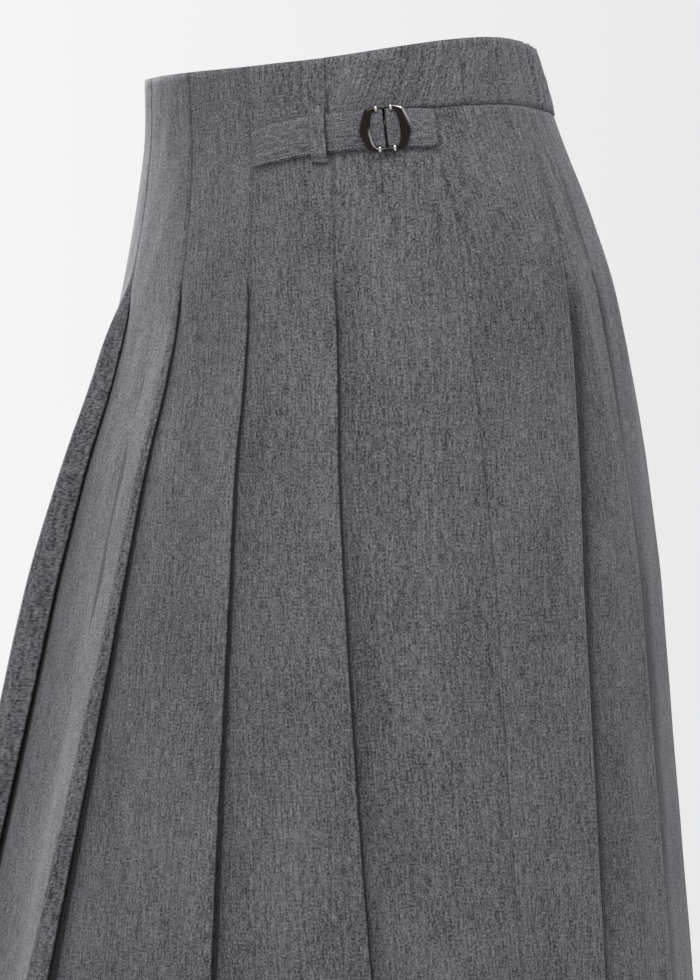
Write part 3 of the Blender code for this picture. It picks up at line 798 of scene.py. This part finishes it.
def strap_out(angle):
    """How far the strap's middle stands out: it rises from the seam it is sewn into, then lies level"""
    from_seam = (angle - STRAP_STOPS[0].angle) * SEWN_ARC_PER_DEGREE
    sunk = SEWN_DEEP * (1.0 - sin(0.5 * pi * min(1.0, max(0.0, from_seam / SEWN_OVER))))
    return STRAP_OUT - sunk + wrap_lift(abs(angle - BUCKLE_ANGLE) * ARC_PER_DEGREE)


def strap_spot(angle, across):
    """A point on the strap's middle surface; `across` runs from -1 at its lower edge to 1 at its upper edge"""
    middle = rounded(angle, column(STRAP_STOPS, "angle"), column(STRAP_STOPS, "height"), 2.0)
    half = 0.5 * np.interp(angle, column(STRAP_STOPS, "angle"), column(STRAP_STOPS, "width"))
    return float(middle + across * half), strap_out(angle)


def strap_piece(name, sewn, free, columns):
    """A stretch of the strap, softly crowned between its stitched edges, with finer columns toward the buckle
    and a painted shadow where it goes in under the loop"""
    points = []
    grain = []
    angles = sewn + (free - sewn) * np.sin(0.5 * pi * np.linspace(0.0, 1.0, columns))
    if free < sewn:
        angles = angles[::-1]
    for across in np.linspace(1.0, -1.0, STRAP_ROWS + 1):
        dip = STITCH_DIP * np.exp(-(((abs(across) - STITCH_DIP_AT) / STITCH_DIP_WIDTH) ** 2))
        crown = STRAP_CROWN * (1.0 - abs(across) ** 6) - dip
        row = []
        for angle in angles:
            height, out = strap_spot(angle, across)
            row.append(point_at(angle, height, out + crown))
        points.append(row)
        far = (angles - angles[0]) * ARC_PER_DEGREE
        grain.append(np.stack([np.full(columns, GRAIN_HALF_WIDTH * across), GRAIN_STRETCH * far], axis=1))
    keep = np.ones((STRAP_ROWS, columns - 1), dtype=bool)
    # Painted shadow on the strap beside the carrier loop, darkest at its right side
    painted_loop_shadow = np.exp(-(((angles - LOOP_SPAN[1]) / 0.5) ** 2))
    painted_loop_shadow += 0.5 * np.exp(-(((angles - LOOP_SPAN[0]) / 0.4) ** 2))
    return cloth_from_rows(name, np.array(points), np.array(grain), keep, STRAP_WALL, painted_loop_shadow)


def stitch_row(first, last, across, name):
    """A row of thread stitches along one edge of a strap, each a small rounded bar on the cloth"""
    start = point_at(first, *strap_spot(first, across))
    finish = point_at(last, *strap_spot(last, across))
    count = int(np.linalg.norm(finish - start) / STITCH_PITCH)
    stitches = bmesh.new()
    for number in range(count):
        middle = first + (last - first) * (number + 0.5) / count
        height, out = strap_spot(middle, across)
        spot = Vector(point_at(middle, height, out + 0.5 * STRAP_WALL + 0.00012))
        ahead = Vector(point_at(middle + 0.3, height, out + 0.5 * STRAP_WALL)) - spot
        turned = ahead.to_track_quat("X", "Z").to_matrix().to_4x4()
        shape = Matrix.Diagonal((0.5 * STITCH_LENGTH, STITCH_RADIUS, STITCH_RADIUS, 1.0))
        bmesh.ops.create_uvsphere(
            stitches, u_segments=8, v_segments=6, radius=1.0, matrix=Matrix.Translation(spot) @ turned @ shape
        )
    mesh = bpy.data.meshes.new(name)
    stitches.to_mesh(mesh)
    stitches.free()
    mesh.shade_smooth()
    mesh.materials.append(thread)
    row = bpy.data.objects.new(name, mesh)
    bpy.context.collection.objects.link(row)
    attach(row, "root")
    return row


sewing = Finish("sewing thread")
place = sewing.node("ShaderNodeTexCoord", {}, {}, 3)
twist = sewing.node("ShaderNodeTexNoise", {}, {"Vector": place, "Scale": 2500.0, "Detail": 1.0})
lit = sewing.node(
    "ShaderNodeMix",
    {"data_type": "RGBA"},
    {"Factor": twist, 6: (*THREAD_DARK, 1.0), 7: (*THREAD_LIGHT, 1.0)},
    2,
)
sewing.set(Base_Color=lit, Roughness=0.55)
thread = sewing.material

strap = strap_piece("strap_cloth", STRAP_STOPS[0].angle, BUCKLE_ANGLE - SLIT_HALF_ANGLE, 90)
tab = strap_piece("tab_cloth", STRAP_STOPS[-1].angle, BUCKLE_ANGLE + SLIT_HALF_ANGLE, 60)
edge_across = 1.0 - STITCH_INSET / (0.5 * STRAP_WIDTH)
STITCH_RUNS = (
    (STRAP_STOPS[0].angle + 0.6, LOOP_SPAN[0] - 0.2),
    (LOOP_SPAN[1] + 0.2, 65.4),
    (78.2, STRAP_STOPS[-1].angle - 0.6),
)
for number, (first, last) in enumerate(STITCH_RUNS):
    for side in (1.0, -1.0):
        edge_name = "upper" if side > 0 else "lower"
        stitch_row(first, last, side * edge_across, f"stitches_{edge_name}_{number}")
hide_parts("tab_strap")
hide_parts("tab_end")
for piece in (strap, tab):
    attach(piece, "root")

# The carrier loop is a narrow folded strip sewn down above and below the strap at the last front pleat.
LOOP_TOP = -0.0303
LOOP_BOTTOM = -0.0603
LOOP_WALL = 0.0010
LOOP_CROWN = 0.00025
LOOP_ROWS = 39
LOOP_COLUMNS = 8
LoopStop = namedtuple("LoopStop", "drop out")
LOOP_STOPS = (
    LoopStop(-LOOP_TOP, 0.0016),
    LoopStop(-LOOP_TOP + 0.0020, 0.0019),
    LoopStop(-LOOP_TOP + 0.0042, 0.0037),
    LoopStop(-0.5 * (LOOP_TOP + LOOP_BOTTOM), 0.0040),
    LoopStop(-LOOP_BOTTOM - 0.0034, 0.0037),
    LoopStop(-LOOP_BOTTOM - 0.0014, 0.0019),
    LoopStop(-LOOP_BOTTOM, 0.0016),
)
points = []
grain = []
across_grain = np.linspace(0.5, 0.508, LOOP_COLUMNS + 1)
for height in np.linspace(LOOP_TOP, LOOP_BOTTOM, LOOP_ROWS + 1):
    out = float(rounded(-height, column(LOOP_STOPS, "drop"), column(LOOP_STOPS, "out"), 0.0007))
    row = []
    for share in np.linspace(0.0, 1.0, LOOP_COLUMNS + 1):
        crown = LOOP_CROWN * sin(pi * share)
        row.append(point_at(LOOP_SPAN[0] + share * (LOOP_SPAN[1] - LOOP_SPAN[0]), height, out + crown))
    points.append(row)
    grain.append(np.stack([across_grain, np.full_like(across_grain, height)], axis=1))
everywhere = np.ones((LOOP_ROWS, LOOP_COLUMNS), dtype=bool)
loop = cloth_from_rows("loop_cloth", np.array(points), np.array(grain), everywhere, LOOP_WALL)
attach(loop, "root")
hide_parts("carrier_loop")

# The buckle is a cast three-bar slide, plated dark and polished: two thick crescents at the sides, thin bars
# above and below with a small collar at each end, and an upright middle bar that the two tabs wrap. The
# collars and the edges that face up and to the right carry a painted highlight, a light grey mixed into
# the dark plating.
BUCKLE_WIDTH = 0.0278
BUCKLE_HEIGHT = 0.0236
BUCKLE_DEPTH = 0.0438
BUCKLE_OUT = 0.0037
BAR_THICKNESS = 0.0011
LOBE_THICKNESS = 0.0030
MIDDLE_BAR_RADIUS = 0.0006
MIDDLE_BAR_BACK = 0.0012
COLLAR_X = 0.0039
Corner = namedtuple("Corner", "x y")
BUCKLE_OUTSIDE = (
    Corner(0.5 * BUCKLE_WIDTH, 0.0),
    Corner(0.0134, 0.0020),
    Corner(0.0128, 0.0042),
    Corner(0.0120, 0.0064),
    Corner(0.0110, 0.0088),
    Corner(0.0104, 0.0104),
    Corner(0.0099, 0.0112),
    Corner(0.0089, 0.0116),
    Corner(0.0076, 0.5 * BUCKLE_HEIGHT),
    Corner(0.0, 0.5 * BUCKLE_HEIGHT),
)
BUCKLE_WINDOW = (
    Corner(0.0076, 0.0),
    Corner(0.0075, 0.0040),
    Corner(0.0071, 0.0070),
    Corner(0.0065, 0.0090),
    Corner(0.0056, 0.0103),
    Corner(0.0046, 0.5 * BUCKLE_HEIGHT - BAR_THICKNESS),
    Corner(0.0, 0.5 * BUCKLE_HEIGHT - BAR_THICKNESS),
)

plating = Finish("gunmetal plating")
spot = plating.node("ShaderNodeTexCoord", {}, {}, 3)
wear = plating.node("ShaderNodeTexNoise", {}, {"Vector": spot, "Scale": 420.0, "Detail": 4.0})
tint = plating.node(
    "ShaderNodeMix",
    {"data_type": "RGBA"},
    {"Factor": wear, 6: (0.020, 0.017, 0.016, 1.0), 7: (0.034, 0.029, 0.027, 1.0)},
    2,
)
# Painted highlight: the marked vertices take a light grey in place of the dark plating
painted_highlight = plating.node("ShaderNodeAttribute", {"attribute_name": "painted_highlight"}, {}, 2)
shown = plating.node(
    "ShaderNodeMix",
    {"data_type": "RGBA"},
    {"Factor": painted_highlight, 6: tint, 7: (0.62, 0.60, 0.59, 1.0)},
    2,
)
plating.set(Base_Color=shown, Roughness=wear * 0.08 + 0.06)
plating.surface.inputs["Metallic"].default_value = 1.0

above = Vector(point_at(BUCKLE_ANGLE, 0.5 * BUCKLE_HEIGHT - BUCKLE_DEPTH, 0.0))
below = Vector(point_at(BUCKLE_ANGLE, -0.5 * BUCKLE_HEIGHT - BUCKLE_DEPTH, 0.0))
ahead = Vector(point_at(BUCKLE_ANGLE + 1.0, -BUCKLE_DEPTH, 0.0))
behind = Vector(point_at(BUCKLE_ANGLE - 1.0, -BUCKLE_DEPTH, 0.0))
buckle_up = (above - below).normalized()
buckle_out = (ahead - behind).cross(buckle_up).normalized()
buckle_seat = (
    Matrix.Translation(0.5 * (above + below) + BUCKLE_OUT * buckle_out)
    @ Matrix((buckle_up.cross(buckle_out), buckle_up, buckle_out)).transposed().to_4x4()
)


def add_buckle_part(name, painted_highlight):
    """Finish the active object as one piece of the buckle: on the cloth, smooth and plated. Its last argument
    says how much painted highlight each vertex gets"""
    part = bpy.context.object
    part.data.attributes.new("painted_highlight", "FLOAT", "POINT").data.foreach_set("value", painted_highlight)
    part.name = name
    part.data.transform(buckle_seat @ part.matrix_world)
    part.matrix_world = Matrix.Identity(4)
    part.data.shade_smooth()
    part.data.materials.clear()
    part.data.materials.append(plating.material)
    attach(part, "root")
    return part


bpy.ops.object.select_all(action="DESELECT")
bpy.ops.mesh.primitive_torus_add(
    major_segments=96, minor_segments=16, major_radius=0.010, minor_radius=0.001, align="WORLD"
)
ring = bpy.context.object


def corner_reach(corners, turn):
    """Distance from the buckle's middle to a symmetric outline in one direction"""
    turns = [np.arctan2(corner.y, corner.x) for corner in corners]
    reaches = [np.hypot(corner.x, corner.y) for corner in corners]
    return np.interp(np.arctan2(abs(sin(turn)), abs(cos(turn))), turns, reaches)


bright = []
for vertex in ring.data.vertices:
    turn = np.arctan2(vertex.co.y, vertex.co.x)
    inside = corner_reach(BUCKLE_WINDOW, turn)
    outside = corner_reach(BUCKLE_OUTSIDE, turn)
    swing_in = (vertex.co.xy.length - 0.010) / 0.001
    swing_up = vertex.co.z / 0.001
    reach = 0.5 * (inside + outside) + 0.5 * (outside - inside) * swing_in
    thick = BAR_THICKNESS + (LOBE_THICKNESS - BAR_THICKNESS) * abs(cos(turn)) ** 3
    vertex.co = (reach * cos(turn), reach * sin(turn), 0.5 * thick * swing_up)
    # Painted highlight on the edges that face up and to the right, as if lit from there
    faces_light = swing_in * (0.6 * cos(turn) + 0.8 * sin(turn))
    bright.append(min(1.0, max(0.0, (faces_light - 0.40) / 0.3)))
ring = add_buckle_part("buckle_frame", bright)
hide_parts("buckle")

bpy.ops.object.select_all(action="DESELECT")
bpy.ops.mesh.primitive_cylinder_add(
    vertices=24,
    radius=MIDDLE_BAR_RADIUS,
    depth=BUCKLE_HEIGHT - BAR_THICKNESS,
    location=(0.0, 0.0, -MIDDLE_BAR_BACK),
    rotation=(0.5 * pi, 0.0, 0.0),
)
add_buckle_part("buckle_middle_bar", [0.0] * len(bpy.context.object.data.vertices))

for number, (x, y) in enumerate(((-1, 1), (1, 1), (-1, -1), (1, -1))):
    bpy.ops.object.select_all(action="DESELECT")
    bpy.ops.mesh.primitive_uv_sphere_add(
        segments=20,
        ring_count=12,
        radius=1.0,
        location=(x * COLLAR_X, y * 0.5 * (BUCKLE_HEIGHT - BAR_THICKNESS), 0.0),
        scale=(0.0010, 0.0019, 0.0013),
    )
    # The collars are painted bright all over as highlights
    add_buckle_part(f"buckle_collar_{number}", [1.0] * len(bpy.context.object.data.vertices))

# The studio: a pale floor below the hem and bright walls at the back and the sides, dimmer behind the camera
# and a little brighter on its left. A large soft key light stands at the wearer's right front and grazes the
# pleats, a second lights the back, a small third hangs over the wearer's left, and the room fills the rest.
FLOOR_HEIGHT = -1.02
KEY_PLACE = (-3.12, -0.25, 1.3)
BACK_PLACE = (-1.5, 2.6, 1.2)
CEILING_PLACE = (0.80, -0.34, 1.55)
WALL_BRIGHT = (0.940, 0.940, 0.945, 1.0)
WALL_DIM = (0.765, 0.765, 0.770, 1.0)
WALL_BEHIND = (0.720, 0.720, 0.725, 1.0)
bpy.ops.object.select_all(action="DESELECT")
bpy.ops.mesh.primitive_plane_add(size=6.0, location=(0.0, 0.0, FLOOR_HEIGHT))
floor = bpy.context.object
floor.name = "studio_floor"
floor.data.transform(floor.matrix_world)
floor.matrix_world = Matrix.Identity(4)
paper = Finish("studio paper")
paper.set(Base_Color=(0.55, 0.55, 0.55, 1.0), Roughness=0.9)
floor.data.materials.append(paper.material)


def soft_light(name, where, power, size):
    """A square area light that faces the middle of the skirt"""
    bpy.ops.object.light_add(type="AREA", location=where)
    light = bpy.context.object
    light.name = name
    light.data.energy = power
    light.data.size = size
    light.rotation_euler = (Vector(where) - Vector((0.0, 0.0, -0.25))).to_track_quat("Z", "Y").to_euler()


soft_light("key_light", KEY_PLACE, 160.0, 1.6)
soft_light("back_light", BACK_PLACE, 20.0, 1.6)
soft_light("ceiling_light", CEILING_PLACE, 18.0, 0.7)

surround = bpy.data.worlds.new("studio walls")
bpy.context.scene.world = surround
surround.use_nodes = True
nodes = surround.node_tree.nodes
links = surround.node_tree.links
direction = nodes.new("ShaderNodeTexCoord")


def wall_blend(toward, start, end, colour_a, colour_b):
    """A blend of two wall colours from one side of the room to the other"""
    sideways = nodes.new("ShaderNodeVectorMath")
    sideways.operation = "DOT_PRODUCT"
    sideways.inputs[1].default_value = toward
    spread = nodes.new("ShaderNodeMapRange")
    spread.interpolation_type = "SMOOTHSTEP"
    spread.inputs["From Min"].default_value = start
    spread.inputs["From Max"].default_value = end
    wall = nodes.new("ShaderNodeMix")
    wall.data_type = "RGBA"
    wall.inputs[6].default_value = colour_a
    wall.inputs[7].default_value = colour_b
    links.new(direction.outputs["Generated"], sideways.inputs[0])
    links.new(sideways.outputs["Value"], spread.inputs["Value"])
    links.new(spread.outputs[0], wall.inputs["Factor"])
    return wall


across_wall = wall_blend(to_the_right, -0.12, 0.16, WALL_BRIGHT, WALL_DIM)
room = wall_blend(toward_camera, -0.3, 0.8, WALL_BRIGHT, WALL_BEHIND)
links.new(across_wall.outputs[2], room.inputs[6])
links.new(room.outputs[2], nodes["Background"].inputs["Color"])
bpy.context.scene.view_settings.view_transform = "Standard"
